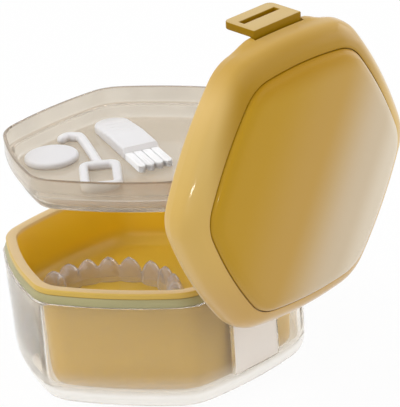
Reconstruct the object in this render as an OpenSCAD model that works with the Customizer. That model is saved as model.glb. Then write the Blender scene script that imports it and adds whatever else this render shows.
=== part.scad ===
// Denture case: a clear hexagonal shell with a mustard soaking bowl, a frosted tray of
// care tools that lifts out, and a hinged lid with a pull-open latch.
// Drawn with the lid open on its stop and the tray lifted clear. Millimetres, +Z up,
// origin in the middle of the shell's flat foot, hinge towards +Y and latch towards -Y.

/* [Outline] */
// Half the width of the bowl's rim, measured to the middle of a side
rim_half = 45.1; // [40:0.1:50]
// Radius of the lid's and bowl's six rounded corners
corner_r = 15; // [12:0.5:20]
// Radius of the rim flange's corners
rim_r = 13; // [12:0.5:16]
// Radius of the gently bowed sides
side_r = 125; // [100:5:200]
// Height of the bowl's rim above the foot
rim_h = 41.1; // [38:0.1:46]

/* [Clear shell] */
// Wall of the clear shell
shell_wall = 2.4; // [2:0.1:2.6]
// Thickness of the clear shell's floor
shell_floor = 4; // [3:0.5:6]
// How far the shell's lip stands out past the bowl's rim
shell_lip = 1.3; // [0.8:0.1:1.4]
// Lean of the shell's wall, from its lip to the top of its lower edge
shell_draft = 0.8; // [0.6:0.1:1.3]
// Radius of the shell's upright corners
shell_r = 10; // [9:0.5:14]
// Extra radius of those corners at the foot
foot_r = 10; // [0:0.5:12]
// Radius of the shell's lower edge, measured up the wall
edge_h = 7.4; // [5:0.1:8]
// Width of the shell's lower edge, measured along the foot
edge_w = 6.4; // [4:0.1:7]

/* [Bowl] */
// Thickness of the bowl's rim flange
flange_t = 2; // [1.6:0.1:2.4]
// Width of the flange's flat top, from its edge to the mouth
flange_w = 3.6; // [3.4:0.1:4]
// Wall of the bowl
bowl_wall = 1.6; // [1.4:0.1:1.8]
// Lean of the bowl's wall from the mouth to its lower end
bowl_draft = 2.9; // [2.4:0.1:3.4]
// Height of the raised floor that the aligner lies on
bowl_floor_z = 21; // [16:0.5:24]
// Thickness of the raised floor
bowl_floor_t = 1.8; // [1.2:0.1:2.4]

/* [Seal] */
// Height of the translucent seal ring under the flange
seal_t = 2.7; // [2:0.1:3.2]
// How far the seal ring stands out past the flange
seal_out = 0.7; // [0.3:0.1:0.8]

/* [Hinge] */
// Distance of the hinge pin outside the bowl's rim
hinge_out = 2.1; // [1.9:0.1:2.9]
// Distance of the hinge pin below the shell's lip
hinge_drop = 4.9; // [3.4:0.1:5.4]
// Angle between the shut lid and the open lid
lid_open = 94; // [80:1:100]
// Radius of the steel hinge pin
pin_r = 1; // [0.8:0.05:1.1]
// Radius of the hinge knuckles
knuckle_r = 2; // [1.9:0.05:2.1]
// Width of the lid's hinge arm
arm_w = 12; // [8:0.5:13]
// Thickness of the lid's hinge arm
arm_t = 1.8; // [1.4:0.1:2.4]
// Width of each ear on the hinge plate
ear_w = 3; // [2:0.5:3.5]
// Width of the hinge plate and of its window in the shell
plate_w = 20; // [20:0.5:24]
// Thickness of the hinge plate
plate_t = 1.5; // [1.2:0.1:1.6]
// Height of the hinge plate's lower end
plate_z = 7.5; // [7:0.5:12]

/* [Lid] */
// How far the lid's rim stands out past the bowl's rim
lid_out = 0.8; // [0.5:0.1:1]
// Extra width where the lid's wall bulges most
lid_bulge = 0.5; // [0:0.1:0.8]
// Wall of the lid
lid_wall = 2.2; // [1.8:0.1:2.3]
// Height of the seam line above the lid's rim
seam_h = 12.4; // [12:0.1:14]
// How far the seam line lies inside the lid's rim
seam_in = 6.4; // [5:0.1:7]
// Height of the lid's ceiling above its rim
ceiling_h = 11.2; // [11.2:0.1:11.6]
// Height of the pillow panel's crown above the seam line
crown = 3; // [2:0.1:4]
// Depth of the groove between the lid's frame and its panel
groove = 0.6; // [0.4:0.1:0.8]

/* [Latch] */
// Width of the latch flap
flap_w = 20.8; // [18:0.1:21.4]
// Length of the latch flap
flap_l = 13; // [12.5:0.1:14]
// Thickness of the latch flap
flap_t = 2.4; // [2:0.1:2.6]
// Radius of the flap's lower corners
flap_r = 2.4; // [1:0.1:3]
// Length of the slot in the latch flap
slot_l = 15.5; // [12:0.5:16]
// Width of the slot in the latch flap
slot_w = 2.2; // [2:0.1:2.4]
// Distance of the slot from the flap's upper end
slot_z = 7.6; // [7.4:0.1:8]
// Radius of the latch pin
latch_pin_r = 0.45; // [0.4:0.05:0.5]
// Height of the swelling on the lid's wall that holds the latch pin
swell = 1.7; // [1.5:0.1:2]

/* [Tray] */
// Gap between the tray's rim and the inside of the lid, in all
tray_gap = 1.5; // [1:0.1:1.6]
// Height of the tray above its step
tray_upper = 6.3; // [5:0.1:6.6]
// Height of the tray below its step
tray_lower = 4.9; // [3:0.1:5.5]
// Wall of the tray
tray_wall = 1.2; // [1:0.1:1.5]
// Height that the tray is lifted above its seat
tray_lift = 29.9; // [28:0.1:32]

/* [Care tools] */
// Diameter of the cleaning tablet
tablet_d = 17.6; // [14:0.1:20]
// Thickness of the cleaning tablet
tablet_t = 2.4; // [2:0.1:4]
// Thickness of the rod that the removal tool is bent from
rod_t = 3; // [2.4:0.1:3.2]
// Width of the removal tool's handle loop
loop_w = 13.5; // [12:0.5:14]
// Length of the removal tool's handle loop
loop_l = 21; // [16:0.5:22]
// Length of the brush handle
brush_l = 33; // [28:0.5:35]
// Width of the brush handle
brush_w = 12; // [11:0.5:13]
// Thickness of the brush handle
brush_t = 4; // [4:0.1:5]
// Length of the bristles
bristle_l = 14; // [10:0.5:14]
// Thickness of one bristle
bristle_t = 0.2; // [0.16:0.01:0.2]

/* [Aligner] */
// Height of the aligner's teeth above the bowl's floor
tooth_h = 8.4; // [7:0.1:9]
// Half the width of the aligner's arch
arch_half = 22; // [20:0.5:23]
// Depth of the aligner's arch
arch_depth = 24; // [20:0.5:26]

/* [Hidden] */
$fn = 48;

mustard = [0.82, 0.62, 0.24];
clear = [0.86, 0.86, 0.84, 0.45];
frosted = [0.8, 0.76, 0.7, 0.8];
white = [0.94, 0.94, 0.95];
steel = [0.7, 0.7, 0.72];

// Clearances
play = 0.3;         // between pieces that move past each other
pin_play = 0.05;    // round a pin that turns
slip = 0.2;         // between fixed pieces that lie close
corner_steps = 5;   // segments on each rounded corner
side_steps = 6;     // segments on each bowed side
eps = 0.01;

// Heights and widths that follow from the values above
shell_top = rim_h - flange_t - seal_t;
shell_half = rim_half + shell_lip;
mouth_half = rim_half - flange_w;
bowl_out = mouth_half + bowl_wall;
hinge_y = rim_half + hinge_out;
hinge_z = shell_top - hinge_drop;
plate_front = hinge_y - knuckle_r - play;
lid_half = rim_half + lid_out;
lid_inside = lid_half - lid_wall;
tray_half = lid_inside - tray_gap;
tray_step = mouth_half - tray_gap;
tray_inside = tray_step - tray_wall;
tray_seat = rim_h - tray_lower;
tray_floor = tray_seat + tray_wall;
seam_half = lid_half - seam_in;
flap_top = rim_h + 1.9;
flap_in = shell_half + 0.6;
flap_end = lid_half - 0.2;
knuckle = 0.85;
latch_y = -(lid_half + 0.5);
latch_z = flap_top - knuckle;
pin_span = flap_w + 2.6;
catch_z = flap_top - slot_z;

// ---------- shapes that repeat ----------

// One ring of the case's outline: six corner arcs joined by six bowed sides.
// half is the half width to the middle of a side, r the radius of the corners.
function hex_ring(half, r, z) =
    let (bow = side_r - half,
         reach = sqrt(pow(side_r - r, 2) - pow(bow / 2, 2)),
         centre = reach - bow * cos(30),
         spread = atan2(bow / 2, reach))
    [for (k = [0:5])
        let (a = 60 * k)
        each concat(
            [for (i = [0:corner_steps])
                let (t = a - spread + 2 * spread * i / corner_steps)
                [centre * cos(a) + r * cos(t), centre * sin(a) + r * sin(t), z]],
            [for (i = [1:side_steps - 1])
                let (t = a + spread + (60 - 2 * spread) * i / side_steps)
                [side_r * cos(t) - bow * cos(a + 30), side_r * sin(t) - bow * sin(a + 30), z]])];

// A closed skin through rings that all have the same number of points.
module skin(rings) {
    n = len(rings[0]);
    m = len(rings);
    polyhedron(
        points = [for (ring = rings) each ring],
        faces = concat(
            [[for (i = [0:n - 1]) i]],
            [for (j = [0:m - 2], i = [0:n - 1])
                each let (a = j * n + i, b = j * n + (i + 1) % n)
                [[a, a + n, b], [b, a + n, b + n]]],
            [[for (i = [n - 1:-1:0]) (m - 1) * n + i]]));
}

// A solid of the case's outline through sections of [height, half width, corner radius].
module loft(sections) {
    skin([for (s = sections) hex_ring(s[1], s[2], s[0])]);
}

// A rounded lower edge, as sections from the foot up to the wall. The corners' radius grows
// by more towards the foot.
function round_edge(half, r, z, high, wide, steps = 4, more = 0) =
    [for (i = [0:steps])
        let (a = 90 * i / steps,
             low = 1 - sin(a))
        [z + high * (1 - cos(a)), half - wide * low, r + (more - wide * 0.5) * low]];

// A cylinder along X, centred on the middle of the case.
module x_rod(r, long, y, z) {
    translate([-long / 2, y, z])
        rotate([0, 90, 0])
            cylinder(r = r, h = long);
}

// A box from one corner to the opposite one.
module block(from, to) {
    translate(from)
        cube(to - from);
}

// Puts what is drawn on the shut case into the open lid's place.
module opened() {
    translate([0, hinge_y, hinge_z])
        rotate([-lid_open, 0, 0])
            translate([0, -hinge_y, -hinge_z])
                children();
}

// Puts what is drawn on the tray's seat into the lifted tray's place.
module lifted() {
    translate([0, 0, tray_lift])
        children();
}

// Lays what is drawn round the origin on the tray's floor, measured from its front wall.
module in_tray(at, turn = 0) {
    translate([at[0], at[1] - tray_inside, tray_floor + tray_lift])
        rotate(turn)
            children();
}

// ---------- base ----------

// Sections of the shell's cavity, from its floor up past its lip.
cavity_half = shell_half - shell_draft - shell_wall;
function cavity() = concat(
    round_edge(cavity_half, shell_r - shell_wall, shell_floor, edge_h - 2, edge_w - 2, more = foot_r * 0.8),
    [[shell_top + eps, shell_half - shell_wall, shell_r - shell_wall]]);

module outer_shell() {
    color(clear)
        difference() {
            union() {
                loft(concat(
                    round_edge(shell_half - shell_draft, shell_r, 0, edge_h, edge_w, more = foot_r),
                    [[shell_top, shell_half, shell_r]]));
                // Catch that the latch flap's slot drops over
                block([-slot_l / 2 + play * 2, -flap_in - 1.2, catch_z - slot_w / 2 + play],
                      [slot_l / 2 - play * 2, -shell_half + shell_wall, catch_z + slot_w / 2 - play]);
            }
            loft(cavity());
            // Window that the hinge plate fills
            block([-plate_w / 2, mouth_half - 3, plate_z], [plate_w / 2, hinge_y + 3, shell_top + eps]);
        }
}

module inner_bowl() {
    wall_low = bowl_out - bowl_draft;
    color(mustard)
        difference() {
            union() {
                loft([
                    [rim_h - flange_t, rim_half, rim_r],
                    [rim_h - 0.4, rim_half, rim_r],
                    [rim_h, rim_half - 0.4, rim_r - 0.4]]);
                loft(concat(
                    round_edge(wall_low, corner_r - flange_w, shell_floor, 3, 3),
                    [[rim_h - flange_t + eps, bowl_out, corner_r - flange_w + bowl_wall]]));
            }
            // Soaking space above the raised floor
            loft(concat(
                round_edge(mouth_half - bowl_draft / 2, corner_r - flange_w - 1, bowl_floor_z, 5, 5),
                [[rim_h + eps, mouth_half, corner_r - flange_w]]));
            // Hollow foot below the raised floor
            loft([
                [shell_floor - 1, wall_low - bowl_wall - 3, corner_r - flange_w - 4],
                [bowl_floor_z - bowl_floor_t, wall_low - bowl_wall - 1, corner_r - flange_w - 2]]);
        }
}

module seal_ring() {
    color([0.66, 0.63, 0.43])
        difference() {
            loft([
                [shell_top, rim_half + seal_out, rim_r],
                [rim_h - flange_t, rim_half, rim_r]]);
            loft([
                [shell_top - 1, bowl_out + slip, corner_r - flange_w + bowl_wall],
                [rim_h, bowl_out + slip, corner_r - flange_w + bowl_wall]]);
        }
}

module hinge_plate() {
    ear_x = arm_w / 2 + play;
    color([0.84, 0.82, 0.8])
        difference() {
            union() {
                block([-plate_w / 2, plate_front - plate_t, plate_z], [plate_w / 2, plate_front, shell_top]);
                for (side = [-1, 1])
                    hull() {
                        translate([side * (ear_x + ear_w / 2), 0, 0])
                            x_rod(knuckle_r, ear_w, hinge_y, hinge_z);
                        translate([side * (ear_x + ear_w / 2) - ear_w / 2, plate_front - plate_t / 2,
                                   hinge_z - 2 * knuckle_r])
                            cube([ear_w, plate_t / 2, 3.5 * knuckle_r]);
                    }
            }
            x_rod(pin_r, plate_w + 2, hinge_y, hinge_z);
        }
}

module hinge_pin() {
    color(steel)
        x_rod(pin_r, arm_w + 2 * (play + ear_w), hinge_y, hinge_z);
}

// ---------- aligner ----------

// Middle line of the aligner's arch, t running from -1 to 1 round the teeth.
arch_turn = 14;
arch_at = mouth_half * [0.188, -0.157];
function arch(t) =
    let (a = 90 * t,
         p = [-arch_depth * (cos(a) - 0.5), arch_half * sin(a) * (1 + 0.12 * cos(a))])
    [arch_at[0] + p[0] * cos(arch_turn) - p[1] * sin(arch_turn),
     arch_at[1] + p[0] * sin(arch_turn) + p[1] * cos(arch_turn)];

// Teeth on both sides of the arch: [place along the arch, width, depth, share of the height]
teeth = [for (side = [-1, 1], i = [0:4])
    [side * (0.11 + 0.19 * i), arch_half * (0.39 - i * 0.009), arch_depth * (0.208 + i * 0.025),
        1 - i * 0.04]];

module tooth(size) {
    hull() {
        translate([-size[1] / 2, -size[0] / 2, 0])
            cube([size[1], size[0], 1]);
        translate([0, 0, size[2] * 0.55])
            scale([size[1] / 2, size[0] / 2, size[2] * 0.45])
                sphere(r = 1, $fn = 12);
    }
}

module aligner() {
    color([0.85, 0.83, 0.8, 0.6])
        translate([0, 0, bowl_floor_z])
            for (t = teeth) {
                here = arch(t[0]);
                next = arch(t[0] + 0.01);
                translate([here[0], here[1], 0])
                    rotate(atan2(next[1] - here[1], next[0] - here[0]) - 90)
                        tooth([t[1], t[2], tooth_h * t[3]]);
            }
}

// ---------- tray and what lies in it ----------

module tray() {
    color(frosted)
        lifted()
            difference() {
                union() {
                    loft(concat(
                        round_edge(tray_step, corner_r - 4, tray_seat, 1.6, 1.6),
                        [[rim_h + eps, tray_step, corner_r - 4]]));
                    loft([
                        [rim_h, tray_half - 0.2, corner_r - 2.2],
                        [rim_h + 0.3, tray_half, corner_r - 2],
                        [rim_h + tray_upper, tray_half, corner_r - 2]]);
                }
                loft(concat(
                    round_edge(tray_inside, corner_r - 5, tray_floor, 1.6, 1.6),
                    [[rim_h + tray_wall, tray_inside, corner_r - 5],
                     [rim_h + tray_wall + 0.3, tray_half - tray_wall, corner_r - 3],
                     [rim_h + tray_upper + eps, tray_half - tray_wall, corner_r - 3]]));
            }
}

tablet_at = [16, 13.4];

module tablet() {
    edge = 0.5;
    color(white)
        in_tray(tablet_at)
            rotate_extrude()
                polygon([[0, 0], [tablet_d / 2 - edge, 0], [tablet_d / 2, edge],
                    [tablet_d / 2, tablet_t - edge], [tablet_d / 2 - edge, tablet_t], [0, tablet_t]]);
}

tool_at = [11.6, 31.2];
tool_turn = 48.8;

// Middle line of the removal tool's shaft and hook, away from its loop
tool_line = loop_l * [[0.07, 0], [-1.071, -0.214], [-1.219, -0.314], [-1.252, -0.448], [-1.162, -0.533]];
loop_r = loop_w * 0.267;

// A rectangle with rounded corners, its left side on X = 0.
module round_rect(long, wide, r) {
    hull()
        for (x = [r, long - r], y = [r - wide / 2, wide / 2 - r])
            translate([x, y])
                circle(r, $fn = 24);
}

module removal_tool() {
    color(white)
        in_tray(tool_at, tool_turn)
            linear_extrude(rod_t) {
                difference() {
                    round_rect(loop_l, loop_w, loop_r);
                    translate([rod_t, 0])
                        round_rect(loop_l - 2 * rod_t, loop_w - 2 * rod_t, loop_r - rod_t * 0.8);
                }
                for (i = [1:len(tool_line) - 1])
                    hull()
                        for (p = [tool_line[i - 1], tool_line[i]])
                            translate(p)
                                circle(rod_t / 2, $fn = 24);
            }
}

brush_at = [-2.6, 36.2];
brush_turn = 66;
brush_bevel = 1.4;
tufts = 4;
tuft_rows = 8;
tuft_columns = 10;
backing = 0.8;

module brush_handle() {
    color(white)
        in_tray(brush_at, brush_turn)
            intersection() {
                union() {
                    translate([-brush_l + brush_w / 2, -brush_w / 2, 0])
                        cube([brush_l - brush_w / 2, brush_w, brush_t]);
                    translate([-brush_l + brush_w / 2, 0, 0])
                        cylinder(d = brush_w, h = brush_t);
                }
                // Thumb end thins down from the head
                rotate([90, 0, 0])
                    translate([0, 0, -brush_w])
                        linear_extrude(2 * brush_w)
                            polygon([[-brush_l - 1, 0], [0, 0], [0, brush_t - brush_bevel], [-1, brush_t],
                                [-brush_l * 0.45, brush_t], [-brush_l - 1, brush_t * 0.6]]);
            }
}

// One tuft: strands in columns and rows, fused to a slice of their backing.
module brush_tuft(i) {
    wide = brush_w / tufts;
    high = brush_t - brush_bevel - 2 * slip;
    pitch_y = (wide - 2 * slip) / tuft_columns;
    pitch_z = high / tuft_rows;
    color(white)
        in_tray(brush_at, brush_turn)
            translate([0, -brush_w / 2 + (i - 1) * wide + slip, slip])
                rotate([90, 0, 90]) {
                    linear_extrude(backing)
                        square([wide - 2 * slip, high]);
                    linear_extrude(bristle_l)
                        for (column = [0:tuft_columns - 1], row = [0:tuft_rows - 1])
                            translate([(column + 0.5) * pitch_y, (row + 0.5) * pitch_z])
                                square(min(bristle_t, pitch_y * 0.8, pitch_z * 0.8), center = true);
                }
}

// ---------- lid ----------

// Outside of the lid's frame, from its rim to its seam line: height, half width, corner
// radius and share of the latch's swelling.
frame_outside = [
    [rim_h, lid_half - 0.7, corner_r - 0.7, 0.9],
    [rim_h + 0.8, lid_half, corner_r, 1],
    [rim_h + seam_h * 0.19, lid_half + lid_bulge * 0.7, corner_r, 0.6],
    [rim_h + seam_h * 0.3, lid_half + lid_bulge, corner_r, 0],
    [rim_h + seam_h * 0.55, lid_half, corner_r, 0],
    [rim_h + seam_h * 0.75, lid_half - seam_in * 0.25, corner_r, 0],
    [rim_h + seam_h * 0.9, lid_half - seam_in * 0.58, corner_r - 0.6, 0],
    [rim_h + seam_h, seam_half, corner_r - 1.5, 0]];

// A ring whose latch side swells out round the latch pin's ends.
function swelled(ring, share) =
    [for (p = ring)
        let (f = p[1] > 0 ? 0 : max(0, min(1, (pin_span / 2 + 8.3 - abs(p[0])) / 8)))
        [p[0], p[1] - swell * share * f * f * (3 - 2 * f), p[2]]];

module lid_frame() {
    panel_half = seam_half - groove;
    color(mustard)
        opened()
            difference() {
                union() {
                    skin([for (s = frame_outside) swelled(hex_ring(s[1], s[2], s[0]), s[3])]);
                    // Hinge arm, which passes outside the seal and the shell's lip
                    difference() {
                        union() {
                            x_rod(knuckle_r, arm_w, hinge_y, hinge_z);
                            block([-arm_w / 2, hinge_y + knuckle_r - arm_t, hinge_z],
                                  [arm_w / 2, hinge_y + knuckle_r, rim_h + 2.5]);
                            block([-arm_w / 2, lid_inside + 0.5, rim_h + 0.5],
                                  [arm_w / 2, hinge_y + knuckle_r, rim_h + 2.5]);
                        }
                        x_rod(pin_r + pin_play, arm_w + 2, hinge_y, hinge_z);
                    }
                }
                // Inside of the lid
                loft([
                    [rim_h - eps, lid_inside, corner_r - lid_wall],
                    [rim_h + seam_h * 0.6, lid_inside - 0.1, corner_r - lid_wall],
                    [rim_h + seam_h * 0.8, lid_inside - seam_in * 0.3, corner_r - lid_wall],
                    [rim_h + ceiling_h, seam_half - 1, corner_r - 3]]);
                // Seat for the panel, open to the inside but for a ledge
                loft([
                    [rim_h + ceiling_h - eps, panel_half - 3, corner_r - 5],
                    [rim_h + seam_h + 1, panel_half - 3, corner_r - 5]]);
                // Room for the latch flap's thick end between the two swellings
                rotate([90, 0, 90])
                    translate([0, 0, -flap_w / 2 - play])
                        linear_extrude(flap_w + 2 * play)
                            polygon([[-flap_in - 5, rim_h - 1], [-flap_end + 0.45, rim_h - 1],
                                [-flap_end + 0.45, flap_top + 0.15], [-lid_half - lid_bulge, flap_top + 2.2],
                                [-flap_in - 5, flap_top + 2.2]]);
                x_rod(latch_pin_r, pin_span, latch_y, latch_z);
            }
}

module lid_panel() {
    panel_half = seam_half - groove;
    z = rim_h + seam_h;
    color([0.74, 0.58, 0.28])
        opened()
            union() {
                loft([
                    [z, panel_half, corner_r - 2],
                    [z + crown * 0.35, panel_half - 0.4, corner_r - 2],
                    [z + crown * 0.65, panel_half - 1.8, corner_r - 2.5],
                    [z + crown * 0.85, panel_half * 0.87, corner_r * 0.73],
                    [z + crown, panel_half * 0.64, corner_r * 0.53]]);
                // Plug that centres the panel in the frame
                loft([
                    [rim_h + ceiling_h, panel_half - 3 - slip, corner_r - 5 - slip],
                    [z + eps, panel_half - 3 - slip, corner_r - 5 - slip]]);
            }
}

// ---------- latch ----------

module latch_pin() {
    color(steel)
        opened()
            x_rod(latch_pin_r, pin_span, latch_y, latch_z);
}

module latch_flap() {
    x = flap_w / 2;
    color(mustard)
        opened()
            difference() {
                union() {
                    // Plate with rounded lower corners
                    translate([0, -flap_in, 0])
                        rotate([90, 0, 0])
                            linear_extrude(flap_t)
                                hull() {
                                    for (side = [-1, 1])
                                        translate([side * (x - flap_r), flap_top - flap_l + flap_r])
                                            circle(flap_r, $fn = 24);
                                    translate([-x, flap_top - 1])
                                        square([flap_w, 1]);
                                }
                    // Thick end that turns on the pin, against the lid's wall
                    block([-x, -flap_in - eps, latch_z - knuckle], [x, -flap_end, flap_top]);
                }
                x_rod(latch_pin_r + pin_play, flap_w + 1, latch_y, latch_z);
                // Slot that drops over the shell's catch
                block([-slot_l / 2, -flap_in - flap_t - 1, catch_z - slot_w / 2],
                      [slot_l / 2, -flap_in + 1, catch_z + slot_w / 2]);
            }
}

outer_shell();
inner_bowl();
seal_ring();
hinge_plate();
hinge_pin();
aligner();
tray();
tablet();
removal_tool();
brush_handle();
brush_tuft(1);  // brush_tuft_1
brush_tuft(2);  // brush_tuft_2
brush_tuft(3);  // brush_tuft_3
brush_tuft(4);  // brush_tuft_4
lid_frame();
lid_panel();
latch_pin();
latch_flap();
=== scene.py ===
# Denture case, dressed: the lid open on its stop, the tray lifted clear of the bowl.
# Shapes are worked out in millimetres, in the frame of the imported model.
import math
import random

import bmesh
import bpy
from mathutils import Matrix, Vector

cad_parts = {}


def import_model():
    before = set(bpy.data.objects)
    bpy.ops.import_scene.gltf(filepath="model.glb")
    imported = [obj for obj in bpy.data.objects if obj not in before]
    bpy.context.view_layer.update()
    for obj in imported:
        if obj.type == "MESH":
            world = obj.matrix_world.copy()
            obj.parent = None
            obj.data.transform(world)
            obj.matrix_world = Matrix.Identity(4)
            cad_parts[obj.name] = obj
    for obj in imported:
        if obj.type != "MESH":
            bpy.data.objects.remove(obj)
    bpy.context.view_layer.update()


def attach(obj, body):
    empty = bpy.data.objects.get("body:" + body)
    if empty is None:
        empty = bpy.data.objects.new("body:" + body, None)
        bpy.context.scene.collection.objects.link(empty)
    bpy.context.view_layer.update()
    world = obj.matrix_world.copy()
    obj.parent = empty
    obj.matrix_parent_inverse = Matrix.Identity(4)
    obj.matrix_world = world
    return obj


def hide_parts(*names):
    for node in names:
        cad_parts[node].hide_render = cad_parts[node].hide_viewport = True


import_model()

MM = 0.001

# ---------- sizes, the same as in the part's source ----------
# Outline of the rim, and the height of the rim above the foot
RIM_HALF, CORNER_R, RIM_R, SIDE_R, RIM_H = 45.1, 15.0, 13.0, 125.0, 41.1
# Clear shell
SHELL_WALL, SHELL_FLOOR, SHELL_LIP, SHELL_DRAFT = 2.4, 4.0, 1.3, 0.8
SHELL_R, FOOT_R, EDGE_H, EDGE_W = 10.0, 10.0, 7.4, 6.4
# Bowl and seal
FLANGE_T, FLANGE_W, BOWL_WALL, BOWL_DRAFT = 2.0, 3.6, 1.6, 2.9
BOWL_FLOOR_Z, BOWL_FLOOR_T = 21.0, 1.8
SEAL_T, SEAL_OUT = 2.7, 0.7
# Hinge
HINGE_Y, HINGE_Z, LID_OPEN = 47.2, 31.5, 94.0
KNUCKLE_R, ARM_W, ARM_T, PLATE_W, PLATE_Z = 2.0, 12.0, 1.8, 20.0, 7.5
# Lid
LID_OUT, LID_BULGE, LID_WALL = 0.8, 0.5, 2.2
SEAM_H, SEAM_IN, CEILING_H, CROWN, GROOVE = 12.4, 6.4, 11.2, 3.0, 0.6
# Latch
FLAP_W, FLAP_L, FLAP_T, FLAP_R, SLOT_L, SLOT_W, SLOT_Z = 20.8, 13.0, 2.4, 2.4, 15.5, 2.2, 7.6
KNUCKLE, SWELL = 0.85, 1.7
# Tray and what lies in it
TRAY_GAP, TRAY_UPPER, TRAY_LOWER, TRAY_WALL, TRAY_LIFT = 1.5, 6.3, 4.9, 1.2, 29.9
TABLET_D, TABLET_T, TABLET_AT = 17.6, 2.4, (16, -25.4)
ROD_T, LOOP_W, LOOP_L, LOOP_R = 3.0, 13.5, 21.0, 3.6
TOOL_AT, TOOL_TURN = (11.6, -7.6), 48.8
TOOL_LINE = [(1.5, 0), (-22.5, -4.5), (-25.6, -6.6), (-26.3, -9.4), (-24.4, -11.2)]
BRUSH_L, BRUSH_W, BRUSH_T, BRISTLE_L, BRUSH_BEVEL, TUFTS = 33.0, 12.0, 4.0, 14.0, 1.4, 4
BRUSH_AT, BRUSH_TURN = (-2.6, -2.6), 66.0
# Aligner
TOOTH_H, ARCH_HALF, ARCH_DEPTH, ARCH_TURN, ARCH_AT = 8.4, 22.0, 24.0, 14.0, (7.8, -6.5)
# Room between pieces that move and between pieces that stay
PLAY, SLIP = 0.3, 0.2

SHELL_TOP = RIM_H - FLANGE_T - SEAL_T
SHELL_HALF = RIM_HALF + SHELL_LIP
MOUTH_HALF = RIM_HALF - FLANGE_W
BOWL_OUT = MOUTH_HALF + BOWL_WALL
BOWL_R = CORNER_R - FLANGE_W
LID_HALF = RIM_HALF + LID_OUT
LID_INSIDE = LID_HALF - LID_WALL
TRAY_HALF = LID_INSIDE - TRAY_GAP
TRAY_STEP = MOUTH_HALF - TRAY_GAP
TRAY_SEAT = RIM_H - TRAY_LOWER + TRAY_LIFT
TRAY_FLOOR = TRAY_SEAT + TRAY_WALL
TRAY_RIM = RIM_H + TRAY_LIFT
TRAY_TOP = TRAY_RIM + TRAY_UPPER
SEAM_HALF = LID_HALF - SEAM_IN
SEAM_Z = RIM_H + SEAM_H
PANEL_HALF = SEAM_HALF - GROOVE
FLAP_TOP = RIM_H + 1.9
FLAP_IN = SHELL_HALF + 0.6
FLAP_END = LID_HALF - 0.2
LATCH_Y, LATCH_Z = -(LID_HALF + 0.5), FLAP_TOP - KNUCKLE
PIN_SPAN = FLAP_W + 2.6
CATCH_Z = FLAP_TOP - SLOT_Z

# ---------- fineness of the meshes ----------
CORNER_STEPS, SIDE_STEPS = 12, 18
ROD_SIDES, TABLET_SIDES, SMALL_SIDES, STRAND_SIDES = 32, 72, 20, 6
SHARP = 35.0


# ---------- mesh helpers ----------
def make(name, bm, sharp=SHARP):
    """Turns a bmesh in millimetres into an object in metres, smooth but for its sharp edges."""
    bm.normal_update()
    bmesh.ops.recalc_face_normals(bm, faces=bm.faces)
    bm.transform(Matrix.Scale(MM, 4))
    mesh = bpy.data.meshes.new(name)
    bm.to_mesh(mesh)
    bm.free()
    obj = bpy.data.objects.new(name, mesh)
    bpy.context.scene.collection.objects.link(obj)
    mesh.shade_smooth()
    mesh.set_sharp_from_angle(angle=math.radians(sharp))
    return obj


def hex_ring(half, r, z):
    """One ring of the case's outline: six corner arcs joined by six bowed sides."""
    bow = SIDE_R - half
    reach = math.sqrt((SIDE_R - r) ** 2 - (bow / 2) ** 2)
    centre = reach - bow * math.cos(math.radians(30))
    spread = math.atan2(bow / 2, reach)
    ring = []
    for k in range(6):
        a = math.radians(60 * k)
        for i in range(CORNER_STEPS + 1):
            t = a - spread + 2 * spread * i / CORNER_STEPS
            ring.append((centre * math.cos(a) + r * math.cos(t),
                         centre * math.sin(a) + r * math.sin(t), z))
        turn = math.radians(60) - 2 * spread
        half_way = a + math.radians(30)
        for i in range(1, SIDE_STEPS):
            t = a + spread + turn * i / SIDE_STEPS
            ring.append((SIDE_R * math.cos(t) - bow * math.cos(half_way),
                         SIDE_R * math.sin(t) - bow * math.sin(half_way), z))
    return ring


def arc(half, r, z, wide, high, start, end, steps=6):
    """Sections on a quarter ellipse, in degrees from outward (0) to upward (90)."""
    out = []
    for i in range(steps + 1):
        t = math.radians(start + (end - start) * i / steps)
        inset = wide * (1 - math.cos(t))
        out.append((z + high * math.sin(t), half - inset, r - inset * 0.5))
    return out


def bridge(bm, rows, capped=True, closed=False):
    """Quads between rows of points, with a face on both ends or a last band back to the first."""
    n = len(rows[0])
    for a, b in list(zip(rows[:-1], rows[1:])) + ([(rows[-1], rows[0])] if closed else []):
        for i in range(n):
            j = (i + 1) % n
            bm.faces.new((a[i], a[j], b[j], b[i]))
    if capped and not closed:
        bm.faces.new(rows[0])
        bm.faces.new(rows[-1])


def skin(bm, rings, closed=False):
    """A skin through rings of equal length, with a flat cap in a narrow frame on both ends."""
    rows = [[bm.verts.new(p) for p in ring] for ring in rings]
    bridge(bm, rows, capped=False, closed=closed)
    if closed:
        return
    inset = 0.93
    n = len(rows[0])
    for row in (rows[0], rows[-1]):
        inner = [bm.verts.new(Vector(v.co) * inset + Vector((0, 0, v.co.z * (1 - inset))))
                 for v in row]
        for i in range(n):
            j = (i + 1) % n
            bm.faces.new((row[i], row[j], inner[j], inner[i]))
        bm.faces.new(inner)


def loft(bm, sections, closed=False):
    """A skin through sections of (height, half width, corner radius)."""
    skin(bm, [hex_ring(half, max(r, 1.0), z) for z, half, r in sections], closed)


def block(bm, low, high, bevel=0.0, steps=3):
    """A box between two corners, with rounded edges where bevel is given."""
    low, high = Vector(low), Vector(high)
    made = bmesh.ops.create_cube(bm, size=1.0)["verts"]
    for v in made:
        v.co = Vector([low[k] + (v.co[k] + 0.5) * (high[k] - low[k]) for k in range(3)])
    if bevel:
        edges = list(dict.fromkeys(e for v in made for e in v.link_edges))
        bmesh.ops.bevel(bm, geom=edges, offset=bevel, segments=steps, affect='EDGES', profile=0.5)


def circle(n):
    """Cosine and sine at n even steps round a circle."""
    return [(math.cos(2 * math.pi * i / n), math.sin(2 * math.pi * i / n)) for i in range(n)]


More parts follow.
